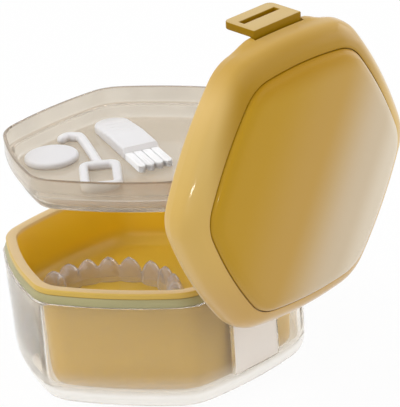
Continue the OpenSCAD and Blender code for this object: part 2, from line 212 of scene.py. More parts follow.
def squarish(n, power):
    """The same, pushed out towards the corners of a square."""
    return [tuple(math.copysign(abs(v) ** power, v) for v in point) for point in circle(n)]


def x_rod(bm, r, long, y, z, bevel):
    """A cylinder along X with bevelled ends, centred on the middle of the case."""
    turn = Matrix.Translation((0, y, z)) @ Matrix.Rotation(math.radians(90), 4, 'Y')
    ends = [(-long / 2, r - bevel), (-long / 2 + bevel, r),
            (long / 2 - bevel, r), (long / 2, r - bevel)]
    bridge(bm, [[bm.verts.new(turn @ Vector((radius * c, radius * s, x)))
                 for c, s in circle(ROD_SIDES)] for x, radius in ends])


def opened(bm):
    """Turns what is drawn on the shut case into the open lid's place."""
    hinge = Matrix.Translation((0, HINGE_Y, HINGE_Z))
    bm.transform(hinge @ Matrix.Rotation(math.radians(-LID_OPEN), 4, 'X') @ hinge.inverted())


def apply_modifier(obj, kind, **values):
    """Adds one modifier and applies it."""
    mod = obj.modifiers.new(kind, kind)
    for key, value in values.items():
        setattr(mod, key, value)
    deps = bpy.context.evaluated_depsgraph_get()
    mesh = bpy.data.meshes.new_from_object(obj.evaluated_get(deps))
    obj.modifiers.clear()
    old = obj.data
    obj.data = mesh
    bpy.data.meshes.remove(old)
    mesh.name = obj.name


def carve(obj, tool_bm, operation='DIFFERENCE'):
    """Cuts a bmesh out of an object, or joins it on."""
    tool = make("carving_tool", tool_bm)
    apply_modifier(obj, 'BOOLEAN', operation=operation, object=tool, solver='EXACT')
    bpy.data.objects.remove(tool)
    obj.data.shade_smooth()
    obj.data.set_sharp_from_angle(angle=math.radians(SHARP))


def sweep(bm, path, section, closed=False):
    """Carries a section, given by its place on the path as (across, up), along a flat path."""
    n = len(path)
    rows = []
    for i, p in enumerate(path):
        before = path[(i - 1) % n] if closed or i else path[0]
        after = path[(i + 1) % n] if closed or i < n - 1 else path[-1]
        along = (Vector(after) - Vector(before)).normalized()
        across = Vector((-along.y, along.x, 0))
        rows.append([bm.verts.new(Vector(p) + across * s + Vector((0, 0, u)))
                     for s, u in section(i)])
    bridge(bm, rows, closed=closed)


def catmull(points, steps):
    """A Catmull-Rom line through points, as vectors."""
    pts = [Vector(p) for p in points]
    pts = [2 * pts[0] - pts[1]] + pts + [2 * pts[-1] - pts[-2]]
    out = []
    for i in range(1, len(pts) - 2):
        a, b, c, d = pts[i - 1:i + 3]
        for k in range(steps):
            t = k / steps
            out.append(0.5 * ((2 * b) + (c - a) * t + (2 * a - 5 * b + 4 * c - d) * t * t
                              + (3 * b - a - 3 * c + d) * t ** 3))
    return out + [pts[-2]]


def spline(sections, steps):
    """Sections on a smooth line through sections."""
    return [tuple(p) for p in catmull(sections, steps)[:-1]] + [tuple(sections[-1])]


def reopen(obj):
    """A bmesh in millimetres with what the object has, and the object is gone."""
    bm = bmesh.new()
    bm.from_mesh(obj.data)
    bm.transform(Matrix.Scale(1 / MM, 4))
    bpy.data.objects.remove(obj)
    return bm


# ---------- materials ----------
def srgb(r, g, b):
    """A linear colour from 0 to 255 screen values."""
    def one(c):
        c /= 255
        return c / 12.92 if c <= 0.04045 else ((c + 0.055) / 1.055) ** 2.4
    return (one(r), one(g), one(b), 1.0)


def add(owner, kind, operation=None, **sockets):
    """Adds a node to a material or world. Its sockets' names have _ in place of spaces."""
    made = owner.node_tree.nodes.new("ShaderNode" + kind)
    if operation:
        made.operation = operation
    for name, value in sockets.items():
        made.inputs[name.replace("_", " ")].default_value = value
    return made


def link(owner, output, socket):
    """Links two nodes of a material or world."""
    owner.node_tree.links.new(output, socket)


def shader(mat):
    """The material's main shader."""
    return mat.node_tree.nodes["Principled BSDF"]


def material(name, colour, rough, vary=0.06, grain=900.0, bump=0.04, **sockets):
    """A moulded material: slightly uneven colour and gloss, and a fine skin of bumps.

    With None for a colour, fade() has to give one.
    """
    mat = bpy.data.materials.new(name)
    mat.use_nodes = True
    for key, value in sockets.items():
        shader(mat).inputs[key.replace("_", " ")].default_value = value
    place = add(mat, "TexCoord")
    cloud = add(mat, "TexNoise", Scale=60.0, Detail=3.0)
    link(mat, place.outputs["Object"], cloud.inputs["Vector"])
    if colour:
        tint = add(mat, "ValToRGB")
        ends = zip(tint.color_ramp.elements, (0.3, 0.7), (1 - vary, 1 + vary))
        for element, position, level in ends:
            element.position = position
            element.color = [min(c * level, 1) for c in colour[:3]] + [1]
        link(mat, cloud.outputs["Fac"], tint.inputs["Fac"])
        link(mat, tint.outputs["Color"], shader(mat).inputs["Base Color"])
    gloss = add(mat, "MapRange", To_Min=max(rough - 0.05, 0.0), To_Max=rough + 0.05)
    link(mat, cloud.outputs["Fac"], gloss.inputs["Value"])
    link(mat, gloss.outputs["Result"], shader(mat).inputs["Roughness"])
    if bump:
        fine = add(mat, "TexNoise", Scale=grain)
        link(mat, place.outputs["Object"], fine.inputs["Vector"])
        lift = add(mat, "Bump", Strength=bump, Distance=0.0002)
        link(mat, fine.outputs["Fac"], lift.inputs["Height"])
        link(mat, lift.outputs["Normal"], shader(mat).inputs["Normal"])
    return mat


def let_light_through(mat, share):
    """Lets a share of the lamps' light past a clear piece, which would else cast a full shadow."""
    path = add(mat, "LightPath")
    amount = add(mat, "Math", 'MULTIPLY')
    amount.inputs[1].default_value = share
    link(mat, path.outputs["Is Shadow Ray"], amount.inputs[0])
    mix = add(mat, "MixShader")
    link(mat, amount.outputs[0], mix.inputs["Fac"])
    link(mat, shader(mat).outputs[0], mix.inputs[1])
    link(mat, add(mat, "BsdfTransparent").outputs[0], mix.inputs[2])
    link(mat, mix.outputs[0], mat.node_tree.nodes["Material Output"].inputs["Surface"])


def measured(mat, what, way, start, end, low=0.0, high=1.0, smooth=False):
    """A value that runs from low to high between two measures along a direction.

    What is measured is Object, for places in metres, or Normal, for the way that faces look.
    """
    dot = add(mat, "VectorMath", 'DOT_PRODUCT')
    dot.inputs[1].default_value = way
    link(mat, add(mat, "TexCoord").outputs[what], dot.inputs[0])
    span = add(mat, "MapRange", From_Min=start, From_Max=end, To_Min=low, To_Max=high)
    if smooth:
        span.interpolation_type = 'SMOOTHSTEP'
    link(mat, dot.outputs["Value"], span.inputs["Value"])
    return span.outputs["Result"]


def mix_in(mat, share, colour):
    """Mixes a colour over the material's own by a share that another node gives."""
    mix = add(mat, "Mix")
    mix.data_type = 'RGBA'
    link(mat, share, mix.inputs["Factor"])
    base = shader(mat).inputs["Base Color"]
    link(mat, base.links[0].from_socket, mix.inputs["A"])
    mix.inputs["B"].default_value = colour
    link(mat, mix.outputs["Result"], base)


def light_ramp(mat, stops, along, start, end):
    """Paints light and shade into a material's colour by a ramp along a direction, between two
    places in millimetres.
    """
    ramp = add(mat, "ValToRGB")
    ramp.color_ramp.interpolation = 'EASE'
    while len(ramp.color_ramp.elements) < len(stops):
        ramp.color_ramp.elements.new(0.5)
    for element, (position, colour) in zip(ramp.color_ramp.elements, stops):
        element.position = position
        element.color = srgb(*colour)
    link(mat, measured(mat, "Object", along, start * MM, end * MM), ramp.inputs["Fac"])
    link(mat, ramp.outputs["Color"], shader(mat).inputs["Base Color"])


def band(mat, colour, along, start, end):
    """Paints shade: blends into a deeper colour without sheen or coat along a direction, in
    millimetres.
    """
    share = measured(mat, "Object", along, start * MM, end * MM, smooth=True)
    mix_in(mat, share, srgb(*colour))
    for name in ("Sheen Weight", "Coat Weight"):
        socket = shader(mat).inputs[name]
        rest = add(mat, "MapRange", To_Min=socket.default_value, To_Max=0.0)
        link(mat, share, rest.inputs["Value"])
        link(mat, rest.outputs["Result"], socket)


def light_by_facing(mat, colour, way, start, end):
    """Paints the faces that look one way lighter or darker: painted light or painted shade for how
    the light falls on them.
    """
    mix_in(mat, measured(mat, "Normal", way, start, end), srgb(*colour))


def outward(mat, colour):
    """Paints the faces that look away from the case's upright axis a duller, darker colour: a
    shaded copy of the material, kept off the painted light inside.
    """
    place = add(mat, "TexCoord")
    flat = add(mat, "VectorMath", 'MULTIPLY')
    flat.inputs[1].default_value = (1, 1, 0)
    link(mat, place.outputs["Object"], flat.inputs[0])
    dot = add(mat, "VectorMath", 'DOT_PRODUCT')
    link(mat, flat.outputs["Vector"], dot.inputs[0])
    link(mat, place.outputs["Normal"], dot.inputs[1])
    share = add(mat, "MapRange", From_Min=0.01, From_Max=0.03)
    link(mat, dot.outputs["Value"], share.inputs["Value"])
    mix_in(mat, share.outputs["Result"], srgb(*colour))


UP = (0, 0, 1)
# The way from the open lid's rim to its crown. A height on the shut lid lies at LID_FROM + height
# along it. The lean makes the band of painted shade by the seam wider towards the open lid's top.
LID_UP = (0, math.sin(math.radians(LID_OPEN)), math.cos(math.radians(LID_OPEN)))
LID_FROM = HINGE_Y * LID_UP[1] + HINGE_Z * LID_UP[2] - HINGE_Z
LEAN = 0.14

# Painted light on the lid: its colour is paler at middle heights, where the lamps light its wall,
# and deeper at the foot and the crown. band() paints shade along the seam and takes off sheen and
# coat there.
lid_mat = material("mustard_satin", None, 0.36, Specular_IOR_Level=0.3,
                   Sheen_Weight=0.4, Sheen_Roughness=0.3, Coat_Weight=0.4, Coat_Roughness=0.06)
light_ramp(lid_mat, [(0.0, (194, 153, 74)), (0.34, (206, 167, 80)), (0.68, (207, 172, 94)),
               (0.8, (212, 176, 100)), (0.92, (196, 155, 64)), (1.0, (194, 153, 60))],
     UP, 40.0, 128.0)
band(lid_mat, (168, 126, 0), (0, LID_UP[1], LID_UP[2] + LEAN), LID_FROM + 64.2, LID_FROM + 68.9)
# The flap's upward faces are painted pale, a painted reflection of the light from above
flap_mat = material("mustard_flap", srgb(148, 111, 0), 0.4, Specular_IOR_Level=0.1)
light_by_facing(flap_mat, (206, 178, 122), UP, 0.75, 0.98)
# Painted light on the panel: a painted reflection, pale, to its lower right, and painted shade,
# deep, to its upper left and along its top edge
panel_mat = material("mustard_panel", None, 0.36, Specular_IOR_Level=0.2,
                     Sheen_Weight=0.2, Sheen_Roughness=0.3, Coat_Weight=0.2, Coat_Roughness=0.06)
light_ramp(panel_mat, [(0.0, (182, 139, 2)), (0.42, (186, 146, 62)), (0.84, (203, 184, 154)),
                 (1.0, (218, 204, 181))], (-1.8, 0.0, -0.98), -130.5, -6.5)
band(panel_mat, (174, 128, 0), UP, 107.0, 115.5)
# Painted light in the bowl: its flange top is pale, a painted highlight, and its inside brighter
# and deeper for the light that bounces round in it. outward() gives its outer wall a duller, shaded
# copy of the mustard.
bowl_mat = material("mustard_bowl", None, 0.38, bump=0.01, Specular_IOR_Level=0.5)
light_ramp(bowl_mat, [(0.0, (216, 180, 64)), (0.5, (218, 180, 60)), (0.65, (238, 194, 30)),
                (0.95, (240, 194, 28)), (1.0, (220, 190, 136))], UP, SHELL_FLOOR, RIM_H)
outward(bowl_mat, (203, 168, 72))
# The shell's thick foot is milkier than its wall
shell_mat = material("clear_shell", (0.93, 0.89, 0.82, 1), 0.04, vary=0.004, bump=0.0, IOR=1.3)
link(shell_mat, measured(shell_mat, "Object", UP, 3.0 * MM, 14.0 * MM, 0.6, 0.95, smooth=True),
     shader(shell_mat).inputs["Transmission Weight"])
let_light_through(shell_mat, 0.85)
seal_mat = material("seal_translucent", srgb(186, 178, 130), 0.4,
                    Transmission_Weight=0.25, IOR=1.4)
tray_mat = material("tray_frosted", srgb(229, 221, 208), 0.12, Transmission_Weight=0.8, IOR=1.3)
# Painted shade on the tray: its upward faces, floor and ledges, are darker, and band() paints a
# darker line along the top of its rim
light_by_facing(tray_mat, (212, 201, 184), UP, 0.7, 0.95)
band(tray_mat, (176, 160, 144), UP, TRAY_TOP - 0.5, TRAY_TOP - 0.1)
let_light_through(tray_mat, 0.7)
white_mat = material("white_plastic", srgb(230, 229, 231), 0.35, vary=0.01)
tablet_mat = material("pressed_tablet", srgb(227, 226, 228), 0.7, vary=0.015,
                      grain=2500.0, bump=0.25)
bristle_mat = material("bristle", srgb(250, 250, 251), 0.4, vary=0.005, bump=0.0)
aligner_mat = material("aligner_clear", srgb(238, 234, 236), 0.06, vary=0.02, bump=0.0,
                       Transmission_Weight=0.8, IOR=1.5)
let_light_through(aligner_mat, 0.8)
hinge_mat = material("hinge_pale", srgb(236, 229, 221), 0.45, vary=0.02)
steel_mat = material("pin_steel", srgb(180, 180, 184), 0.3, vary=0.03, grain=3000.0, Metallic=1.0)


def dress(obj, mat, body, node):
    """Gives a new piece its material and body, and hides the node it stands for."""
    obj.data.materials.clear()
    obj.data.materials.append(mat)
    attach(obj, body)
    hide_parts(node)


def dress_node(name, mat):
    """Puts a material on a carried-over node."""
    obj = bpy.data.objects[name]
    for slot in obj.material_slots:
        slot.material = mat


# ---------- clear shell ----------
def rising(half, r, z, high, wide, steps=8, more=0.0):
    """A rounded lower edge, as sections from the foot up to the wall."""
    out = []
    for i in range(steps + 1):
        a = math.radians(90 * i / steps)
        low = 1 - math.sin(a)
        out.append((z + high * (1 - math.cos(a)), half - wide * low, r + (more - wide * 0.5) * low))
    return out


def outer_shell():
    lip_r, small_r, through = 0.5, 0.3, 3
    inner_r = SHELL_R - SHELL_WALL
    outside = rising(SHELL_HALF - SHELL_DRAFT, SHELL_R, 0, EDGE_H, EDGE_W, more=FOOT_R)
    lip = arc(SHELL_HALF, SHELL_R, SHELL_TOP - lip_r, lip_r, lip_r, 0, 90, 4)
    inner_lip = arc(SHELL_HALF, inner_r, SHELL_TOP - small_r, small_r, small_r, 0, 90, 3)
    lip_in = [(z, 2 * SHELL_HALF - SHELL_WALL - half, inner_r)
              for z, half, r in reversed(inner_lip)]
    inside = rising(SHELL_HALF - SHELL_DRAFT - SHELL_WALL, inner_r, SHELL_FLOOR,
                    EDGE_H - 2, EDGE_W - 2, more=FOOT_R * 0.8)
    bm = bmesh.new()
    loft(bm, outside + lip + lip_in + list(reversed(inside)))
    obj = make("shell_clear", bm)
    window = bmesh.new()
    block(window, (-PLATE_W / 2, MOUTH_HALF - through, PLATE_Z),
          (PLATE_W / 2, HINGE_Y + through, SHELL_TOP + 2))
    carve(obj, window)
    catch = bmesh.new()
    block(catch, (-SLOT_L / 2 + 2 * PLAY, -FLAP_IN - 1.2, CATCH_Z - SLOT_W / 2 + PLAY),
          (SLOT_L / 2 - 2 * PLAY, -SHELL_HALF + 1.2, CATCH_Z + SLOT_W / 2 - PLAY), 0.3)
    carve(obj, catch, 'UNION')
    dress(obj, shell_mat, "base", "outer_shell")


# ---------- bowl and seal ----------
def inner_bowl():
    edge, foot_r, bend_r = 0.3, 3, 5
    wall_low = BOWL_OUT - BOWL_DRAFT
    hollow = [(BOWL_FLOOR_Z - BOWL_FLOOR_T, wall_low - BOWL_WALL - 1, BOWL_R - 2),
              (SHELL_FLOOR, wall_low - BOWL_WALL - 3, BOWL_R - 4)]
    wall = rising(wall_low, BOWL_R, SHELL_FLOOR, foot_r, foot_r)
    under = [(RIM_H - FLANGE_T, BOWL_OUT, BOWL_R + BOWL_WALL),
             (RIM_H - FLANGE_T, RIM_HALF - edge, RIM_R - edge),
             (RIM_H - FLANGE_T + edge, RIM_HALF, RIM_R)]
    flange = arc(RIM_HALF, RIM_R, RIM_H - 2 * edge, 2 * edge, 2 * edge, 0, 90, 5)
    mouth = [(RIM_H, MOUTH_HALF + 0.6, BOWL_R + 0.6), (RIM_H - 0.2, MOUTH_HALF + 0.2, BOWL_R + 0.2),
             (RIM_H - 0.6, MOUTH_HALF, BOWL_R)]
    inside = rising(MOUTH_HALF - BOWL_DRAFT / 2, BOWL_R - 1, BOWL_FLOOR_Z, bend_r, bend_r)
    bm = bmesh.new()
    loft(bm, hollow + wall + under + flange + mouth + list(reversed(inside)))
    dress(make("bowl_mustard", bm), bowl_mat, "base", "inner_bowl")


def seal_ring():
    inner, inner_r = BOWL_OUT + SLIP, BOWL_R + BOWL_WALL
    top, out = RIM_H - FLANGE_T, RIM_HALF + SEAL_OUT
    bm = bmesh.new()
    loft(bm, [(SHELL_TOP, out - 0.25, RIM_R), (SHELL_TOP + 0.3, out, RIM_R),
              (SHELL_TOP + 1.6, out - 0.15, RIM_R), (top - 0.3, RIM_HALF + 0.1, RIM_R),
              (top, RIM_HALF - 0.15, RIM_R), (top, inner, inner_r), (SHELL_TOP, inner, inner_r)],
         closed=True)
    dress(make("seal", bm), seal_mat, "base", "seal_ring")


# ---------- aligner ----------
def arch(t):
    """A place on the dental arch, from -1 at one end over 0 in front to 1 at the other end."""
    a = math.radians(90 * t)
    x = -ARCH_DEPTH * (math.cos(a) - 0.5)
    y = ARCH_HALF * math.sin(a) * (1 + 0.12 * math.cos(a))
    c, s = math.cos(math.radians(ARCH_TURN)), math.sin(math.radians(ARCH_TURN))
    return Vector((ARCH_AT[0] + x * c - y * s, ARCH_AT[1] + x * s + y * c, BOWL_FLOOR_Z))


def tooth(bm, t, index):
    """One tooth, tapering to its edge in front and to low cusps further back."""
    wide, deep = 8.6 - index * 0.2, 5 + index * 0.6
    slim, thin = (0.46, 0.45) if index < 3 else (0.26, 0.15)
    here, ahead = arch(t), arch(t + 0.01)
    turn = math.atan2(ahead.y - here.y, ahead.x - here.x) - math.pi / 2
    place = Matrix.Translation(here) @ Matrix.Rotation(turn, 4, 'Z')
    rows = []
    levels = 8
    for k in range(levels + 1):
        f = k / levels
        round_off = max(math.sqrt(max(1 - max(f - 0.5, 0) ** 2 / 0.2501, 0.0)), 0.12)
        w = wide / 2 * (1 - slim * f ** 2) * round_off
        d = deep / 2 * (1 - thin * f) * round_off
        rows.append([bm.verts.new(place @ Vector((d * c, w * s, TOOTH_H * f)))
                     for c, s in squarish(SMALL_SIDES, 0.8)])
    bridge(bm, rows)


def aligner():
    fine, wall, open_to = 0.35, 0.6, 0.25
    bm = bmesh.new()
    for side in (-1, 1):
        for index in range(5):
            tooth(bm, side * (0.11 + 0.19 * index), index)
    obj = make("aligner_shell", bm)
    apply_modifier(obj, 'REMESH', mode='VOXEL', voxel_size=fine * MM)
    apply_modifier(obj, 'SMOOTH', factor=0.5, iterations=4)
    # Open below, and hollow
    bm = bmesh.new()
    bm.from_mesh(obj.data)
    low = [f for f in bm.faces if f.calc_center_median().z < (BOWL_FLOOR_Z + open_to) * MM]
    bmesh.ops.delete(bm, geom=low, context='FACES')
    bm.to_mesh(obj.data)
    bm.free()
    apply_modifier(obj, 'SOLIDIFY', thickness=wall * MM, offset=-1.0)
    obj.data.shade_smooth()
    dress(obj, aligner_mat, "base", "aligner")


# ---------- tray and what lies in it ----------
def tray():
    low_r, up_r, bend_r, edge = CORNER_R - 4, CORNER_R - 2, 1.6, 0.5
    low_in, up_in = TRAY_STEP - TRAY_WALL, TRAY_HALF - TRAY_WALL
    ledge_z = TRAY_RIM + TRAY_WALL
    outside = rising(TRAY_STEP, low_r, TRAY_SEAT, bend_r, bend_r, 6)
    step = [(TRAY_RIM - 0.25, TRAY_STEP, low_r), (TRAY_RIM, TRAY_STEP + 0.25, low_r),
            (TRAY_RIM, TRAY_HALF - 0.35, up_r), (TRAY_RIM + 0.1, TRAY_HALF - 0.1, up_r),
            (TRAY_RIM + 0.35, TRAY_HALF, up_r)]
    rim = arc(TRAY_HALF, up_r, TRAY_TOP - edge, edge, edge, 0, 90, 4)
    rim_in = [(TRAY_TOP, up_in + 0.4, up_r - 1), (TRAY_TOP - 0.4, up_in, up_r - 1)]
    ledge = [(ledge_z + edge, up_in, up_r - 1), (ledge_z, up_in - edge, up_r - 1),
             (ledge_z, low_in + 0.3, low_r - 1), (ledge_z - 0.3, low_in, low_r - 1)]
    inside = list(reversed(rising(low_in, low_r - 1, TRAY_FLOOR, bend_r, bend_r, 6)))
    bm = bmesh.new()
    loft(bm, outside + step + rim + rim_in + ledge + inside)
    dress(make("tray_frosted_shell", bm), tray_mat, "tray", "tray")


def tablet():
    rounding = [(0.0, 0.9), (0.15, 0.45), (0.5, 0.1), (0.9, 0.0)]
    profile = [(z, TABLET_D / 2 - inset) for z, inset in rounding]
    profile += [(TABLET_T - z, r) for z, r in reversed(profile)]
    bm = bmesh.new()
    bridge(bm, [[bm.verts.new((TABLET_AT[0] + r * c, TABLET_AT[1] + r * s, TRAY_FLOOR + z))
                 for c, s in circle(TABLET_SIDES)] for z, r in profile])
    dress(make("tablet_pressed", bm), tablet_mat, "tray", "tablet")


def removal_tool():
    half, hook_steps, tip_steps, quarter = ROD_T / 2, 12, 5, 8
    place = (Matrix.Translation((TOOL_AT[0], TOOL_AT[1], TRAY_FLOOR + half))
             @ Matrix.Rotation(math.radians(TOOL_TURN), 4, 'Z'))

    def rod(size):
        return [(size * half * c, size * half * s) for c, s in squarish(SMALL_SIDES, 0.75)]

    bm = bmesh.new()
    # Loop of the handle, on the middle line of its rod
    r = LOOP_R - half
    x0, x1, y1 = r, LOOP_L - ROD_T - r, (LOOP_W - ROD_T) / 2 - r
    loop = []
    for x, y, start in ((x1, y1, 0), (x0, y1, 90), (x0, -y1, 180), (x1, -y1, 270)):
        for i in range(quarter + 1):
            a = math.radians(start + 90 * i / quarter)
            loop.append(Vector((half + x + r * math.cos(a), y + r * math.sin(a), 0)))
    sweep(bm, loop, lambda i: rod(1.0), closed=True)
    # Shaft and hook, with a rounded tip
    line = catmull([(x, y, 0) for x, y in TOOL_LINE], hook_steps)
    sizes = [1.0] * len(line)
    end, tip = line[-1], (line[-1] - line[-2]).normalized()
    for k in range(1, tip_steps + 1):
        line.append(end + tip * half * math.sin(math.radians(18 * k)))
        sizes.append(math.cos(math.radians(min(18 * k, 86))))
    sweep(bm, line, lambda i: rod(sizes[i]))
    bm.transform(place)
    obj = make("removal_hook", bm)
    apply_modifier(obj, 'REMESH', mode='VOXEL', voxel_size=0.28 * MM)
    apply_modifier(obj, 'SMOOTH', factor=0.5, iterations=5)
    obj.data.shade_smooth()
    dress(obj, white_mat, "tray", "removal_tool")


def brush_place(bm):
    bm.transform(Matrix.Translation((BRUSH_AT[0], BRUSH_AT[1], TRAY_FLOOR))
                 @ Matrix.Rotation(math.radians(BRUSH_TURN), 4, 'Z'))


def brush_handle():
    radius, flat_from, edge_r = BRUSH_W / 2, 0.45, 0.7
    ridges, pitch, ridge_depth = (-28, -14), 3.5, 0.16
    stations = [-BRUSH_L + radius * (1 - math.cos(math.radians(90 * i / 10)))
                for i in range(1, 11)]
    stations += [-BRUSH_L + radius + (BRUSH_L - radius - 1.0) * i / 60 for i in range(1, 61)]
    bm = bmesh.new()
    rows = []
    for x in stations + [-0.5, 0.0]:
        reach = max(-BRUSH_L + radius - x, 0)
        w = math.sqrt(max(radius ** 2 - reach ** 2, 0.3))
        f = min(max((-x - BRUSH_L * flat_from) / (BRUSH_L * (1 - flat_from)), 0), 1)
        top = BRUSH_T * (1 - 0.4 * f)
        # Shallow thumb ridges across the grip
        if ridges[0] < x < ridges[1]:
            top -= ridge_depth * (0.5 - 0.5 * math.cos(2 * math.pi * (x - ridges[0]) / pitch))
        if x > -1.0:
            top -= BRUSH_BEVEL * (x + 1.0)
        e = min(edge_r, w * 0.3)
        row = []
        for cx, cz, start in ((w - e, top - e, 0), (-w + e, top - e, 90),
                              (-w + e, e, 180), (w - e, e, 270)):
            for i in range(5):
                a = math.radians(start + 22.5 * i)
                row.append(bm.verts.new((x, cx + e * math.cos(a), cz + e * math.sin(a))))
        rows.append(row)
    bridge(bm, rows)
    brush_place(bm)
    dress(make("brush_grip", bm, 30), white_mat, "tray", "brush_handle")


def brush_tuft(index, rnd):
    """One tuft of bristles on its slice of backing, longest in the middle of its width."""
    columns, rows, thick, sway, backing = 9, 8, 0.14, 0.05, 0.8
    wide = BRUSH_W / TUFTS
    high = BRUSH_T - BRUSH_BEVEL - 2 * SLIP
    y0 = -BRUSH_W / 2 + (index - 1) * wide + SLIP
    bm = bmesh.new()
    for c in range(columns):
        aside = (2 * c + 1) / columns - 1
        for r in range(rows):
            y = y0 + (c + 0.5) * (wide - 2 * SLIP) / columns
            z = SLIP + (r + 0.5) * high / rows
            long = BRISTLE_L - 0.5 * rnd.random() - 1.5 * aside ** 2
            dy, dz = rnd.uniform(-sway, sway), rnd.uniform(-sway, sway)
            strand = [(0.5, 1.0), (long * 0.55, 1.0), (long - 0.3, 0.95), (long - 0.1, 0.7),
                      (long, 0.3)]
            bridge(bm, [[bm.verts.new((x, y + dy * (x / long) + thick * k * u,
                                       z + dz * (x / long) + thick * k * v))
                         for u, v in circle(STRAND_SIDES)] for x, k in strand])
    # Last, because the bevel leaves gaps in the list of faces, and their order varies
    block(bm, (0.0, y0, SLIP), (backing, y0 + wide - 2 * SLIP, SLIP + high), 0.15, 2)
    brush_place(bm)
    dress(make("tuft_%d" % index, bm), bristle_mat, "tray", "brush_tuft_%d" % index)


# ---------- lid ----------
def swelled(ring, share):
    """A ring of the lid whose latch side swells out round the latch pin's ends."""
    out = []
    for x, y, z in ring:
        f = 0 if y > 0 else max(0, min(1, (PIN_SPAN / 2 + 8.3 - abs(x)) / 8))
        out.append((x, y - SWELL * share * f * f * (3 - 2 * f), z))
    return out


def latch_room():
    """Room in the lid's wall for the flap's thick end, up to its top face at full pull."""
    high, deep, x = FLAP_TOP + 0.15, -FLAP_END + 0.45, FLAP_W / 2 + PLAY
    side = [(-FLAP_IN - 5, RIM_H - 1), (deep, RIM_H - 1), (deep, high), (LATCH_Y + 0.6, high),
            (LATCH_Y, FLAP_TOP + 0.4), (LATCH_Y - 0.9, FLAP_TOP + 1.15),
            (LATCH_Y - 1.8, FLAP_TOP + 2.0), (-FLAP_IN - 5, FLAP_TOP + 2.2)]
    bm = bmesh.new()
    bridge(bm, [[bm.verts.new((u, y, z)) for y, z in side] for u in (-x, x)])
    return bm


def lid_frame():
    """The lid's wall with the groove at its seam and the hinge arm."""
    # Just clear of the flange, so that the shut lid doesn't touch it
    rim = RIM_H + 0.04
    edge = [(rim, LID_HALF - 0.8, CORNER_R - 0.8, 0.9)]
    # Height, half width, corner radius and share of the swelling by the latch
    outside = spline([(RIM_H + 0.1, LID_HALF - 0.35, CORNER_R - 0.4, 0.92),
                      (RIM_H + 0.8, LID_HALF, CORNER_R, 1),
                      (RIM_H + SEAM_H * 0.19, LID_HALF + LID_BULGE * 0.7, CORNER_R, 0.6),
                      (RIM_H + SEAM_H * 0.3, LID_HALF + LID_BULGE, CORNER_R, 0.08),
                      (RIM_H + SEAM_H * 0.55, LID_HALF, CORNER_R, 0),
                      (RIM_H + SEAM_H * 0.75, LID_HALF - SEAM_IN * 0.25, CORNER_R, 0),
                      (RIM_H + SEAM_H * 0.9, LID_HALF - SEAM_IN * 0.58, CORNER_R - 0.6, 0),
                      (SEAM_Z - 0.1, SEAM_HALF + 0.25, CORNER_R - 1.4, 0)], 5)
    ceiling = RIM_H + CEILING_H
    inner_r = CORNER_R - LID_WALL
    groove = [(SEAM_Z - 0.05, SEAM_HALF - 0.2, CORNER_R - 1.5),
              (SEAM_Z - 0.35, SEAM_HALF - 0.22, CORNER_R - 1.7),
              (SEAM_Z - 1.0, SEAM_HALF - 0.25, CORNER_R - 1.7),
              (SEAM_Z - 1.0, PANEL_HALF - 3, CORNER_R - 5), (ceiling, PANEL_HALF - 3, CORNER_R - 5)]
    inside = [(ceiling, SEAM_HALF - 1.4, CORNER_R - 3),
              (ceiling - 0.5, SEAM_HALF - 0.4, CORNER_R - 2.8),
              (RIM_H + SEAM_H * 0.8, LID_INSIDE - SEAM_IN * 0.3, inner_r),
              (RIM_H + SEAM_H * 0.6, LID_INSIDE - 0.1, inner_r),
              (RIM_H + 0.3, LID_INSIDE, inner_r), (rim, LID_INSIDE + 0.3, inner_r + 0.3)]
    sections = edge + outside + [section + (0,) for section in groove + inside]
    bm = bmesh.new()
    skin(bm, [swelled(hex_ring(half, r, z), share) for z, half, r, share in sections], closed=True)
    wall = make("lid_wall", bm)
    carve(wall, latch_room())
    bm = reopen(wall)
    # Hinge arm
    x, top, back, bevel = ARM_W / 2, RIM_H + 2.5, HINGE_Y + KNUCKLE_R, 0.35
    x_rod(bm, KNUCKLE_R, ARM_W, HINGE_Y, HINGE_Z, 0.2)
    block(bm, (-x, back - ARM_T, HINGE_Z), (x, back, top), bevel)
    block(bm, (-x, LID_INSIDE + 0.5, RIM_H + 0.5), (x, back, top), bevel)
    opened(bm)
    dress(make("lid_wall", bm, 40), lid_mat, "lid", "lid_frame")


def lid_panel():
    """The pillow panel with the plug that sits in the frame."""
    plug_half, plug_r, side_r = PANEL_HALF - 3 - SLIP, CORNER_R - 5 - SLIP, CORNER_R - 2
    side = [(RIM_H + CEILING_H, plug_half, plug_r), (SEAM_Z - 0.9, plug_half, plug_r),
            (SEAM_Z - 0.9, PANEL_HALF - 0.05, side_r), (SEAM_Z - 0.3, PANEL_HALF + 0.1, side_r)]
    pillow = spline([(SEAM_Z + 0.1, PANEL_HALF, side_r),
                     (SEAM_Z + CROWN * 0.35, PANEL_HALF - 0.55, side_r),
                     (SEAM_Z + CROWN * 0.65, PANEL_HALF - 1.9, side_r - 0.5),
                     (SEAM_Z + CROWN * 0.85, PANEL_HALF - 5, side_r - 2),
                     (SEAM_Z + CROWN * 0.96, PANEL_HALF - 14, side_r - 5),
                     (SEAM_Z + CROWN, PANEL_HALF - 26, side_r - 9)], 5)
    bm = bmesh.new()
    loft(bm, side + pillow)
    opened(bm)
    dress(make("lid_pillow", bm, 40), panel_mat, "lid", "lid_panel")


